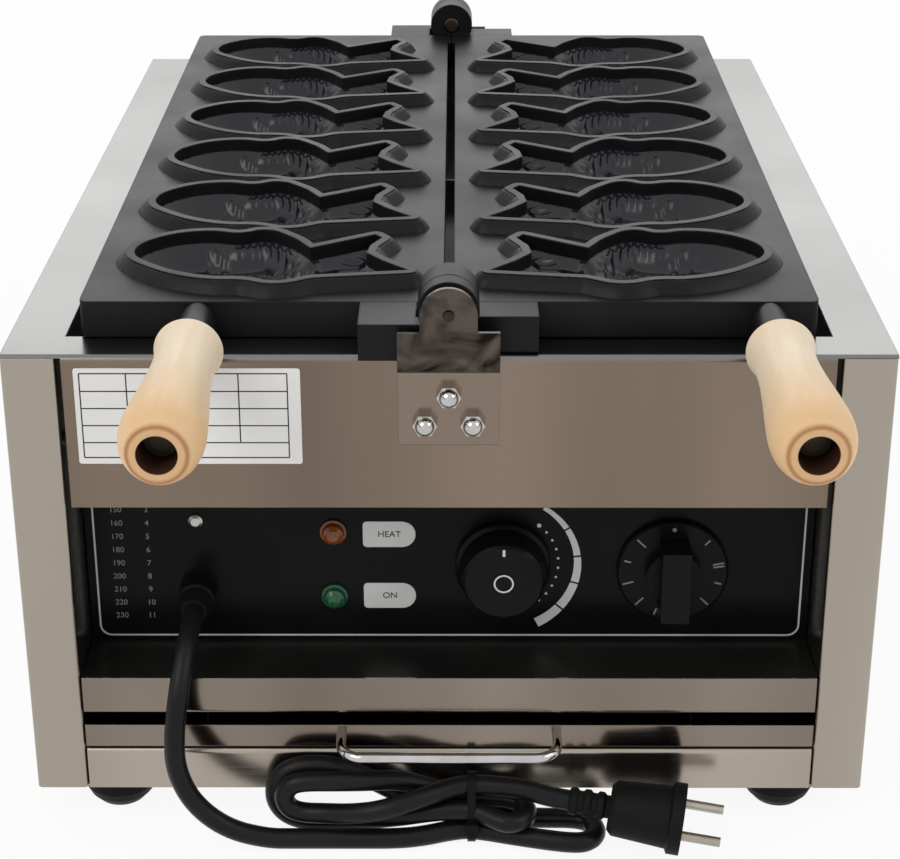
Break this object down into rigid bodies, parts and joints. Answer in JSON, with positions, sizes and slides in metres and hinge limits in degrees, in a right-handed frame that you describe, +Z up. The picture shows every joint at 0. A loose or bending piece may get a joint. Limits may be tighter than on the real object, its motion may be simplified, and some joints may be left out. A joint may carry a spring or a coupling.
{
  "type": "fish waffle maker",
  "caption": "Table-top electric fish-shaped waffle maker: hinged cast mould plates with wooden handles on a steel housing with control panel, crumb tray and mains cord.",
  "frame": {"origin": "on the table under the middle of the machine's box, the cord left out", "axes": "+Z up, the controls and handles face -Y, +X to the operator's right"},
  "size_m": [0.41, 0.6928, 0.2883],
  "materials": {
    "steel_sheet": "fine brushed stainless sheet",
    "inner_sheet": "plain steel sheet",
    "panel_black": "black painted sheet with white print",
    "cast_plate": "cast aluminium with a dark non-stick coat",
    "birch": "turned and waxed birch",
    "bright_steel": "bright plated",
    "zinc_steel": "zinc plated",
    "element_steel": "heat-darkened sheath",
    "foot_rubber": "matt",
    "knob_plastic": "satin moulded",
    "switch_plastic": "moulded",
    "amber_lens": "clear tinted",
    "green_lens": "clear tinted",
    "cord_rubber": "smooth sheath",
    "pin_brass": "nickel plated"
  },
  "bodies": {
    "housing": {"left_side_panel": "steel_sheet", "right_side_panel": "steel_sheet", "top_deck": "steel_sheet", "back_panel": "steel_sheet", "back_panel_screws": "zinc_steel", "base_plate": "inner_sheet", "lower_rail": "steel_sheet", "upper_rail": "steel_sheet", "control_ledge": "panel_black", "electrics_shelf": "inner_sheet", "rubber_feet": "foot_rubber", "foot_screws": "zinc_steel", "foot_nuts": "zinc_steel", "heater_pan": "inner_sheet", "left_heating_element": "element_steel", "right_heating_element": "element_steel", "heater_supports": "inner_sheet", "thermostat_bulb": "element_steel", "front_hinge_bracket": "steel_sheet", "back_hinge_bracket": "steel_sheet", "front_hinge_pin": "zinc_steel", "back_hinge_pin": "zinc_steel", "bracket_bolts": "zinc_steel", "bracket_nuts": "bright_steel", "tray_runners": "inner_sheet", "control_panel": "panel_black", "amber_lamp": "amber_lens", "green_lamp": "green_lens", "earth_screw": "bright_steel", "thermostat_body": "switch_plastic", "timer_body": "switch_plastic", "terminal_block": "switch_plastic", "contactor": "switch_plastic", "inner_wires": "cord_rubber", "cord_gland": "knob_plastic", "gland_nut": "knob_plastic", "power_cord": "cord_rubber", "cord_hank": "cord_rubber", "cable_tie": "knob_plastic", "mains_plug": "knob_plastic", "plug_pins": "pin_brass"},
    "left_plate": {"left_mould_plate": "cast_plate", "left_plate_lugs": "cast_plate", "left_handle_stud": "zinc_steel", "left_handle_grip": "birch", "left_grip_nut": "zinc_steel"},
    "right_plate": {"right_mould_plate": "cast_plate", "right_plate_lugs": "cast_plate", "right_handle_stud": "zinc_steel", "right_handle_grip": "birch", "right_grip_nut": "zinc_steel"},
    "tray": {"crumb_tray": "steel_sheet", "tray_handle": "bright_steel", "tray_handle_nuts": "zinc_steel"},
    "thermostat_dial": {"thermostat_knob": "knob_plastic", "thermostat_shaft": "zinc_steel"},
    "timer_dial": {"timer_knob": "knob_plastic", "timer_shaft": "zinc_steel"}
  },
  "joints": [
    {"name": "left_plate_hinge", "type": "hinge", "parent": "housing", "child": "left_plate", "pos_m": [0, 0, 0.2743], "axis": [0, 1, 0], "range_deg": [0, 180]},
    {"name": "right_plate_hinge", "type": "hinge", "parent": "housing", "child": "right_plate", "pos_m": [0, 0, 0.2743], "axis": [0, -1, 0], "range_deg": [0, 180]},
    {"name": "crumb_tray_slide", "type": "slide", "parent": "housing", "child": "tray", "axis": [0, -1, 0], "range_m": [0, 0.3]},
    {"name": "thermostat_turn", "type": "hinge", "parent": "housing", "child": "thermostat_dial", "pos_m": [0.0265, -0.18235, 0.12395], "axis": [0, 1, 0], "range_deg": [0, 160]},
    {"name": "timer_turn", "type": "hinge", "parent": "housing", "child": "timer_dial", "pos_m": [0.1103, -0.18235, 0.12095], "axis": [0, 1, 0], "range_deg": [0, 330]}
  ]
}
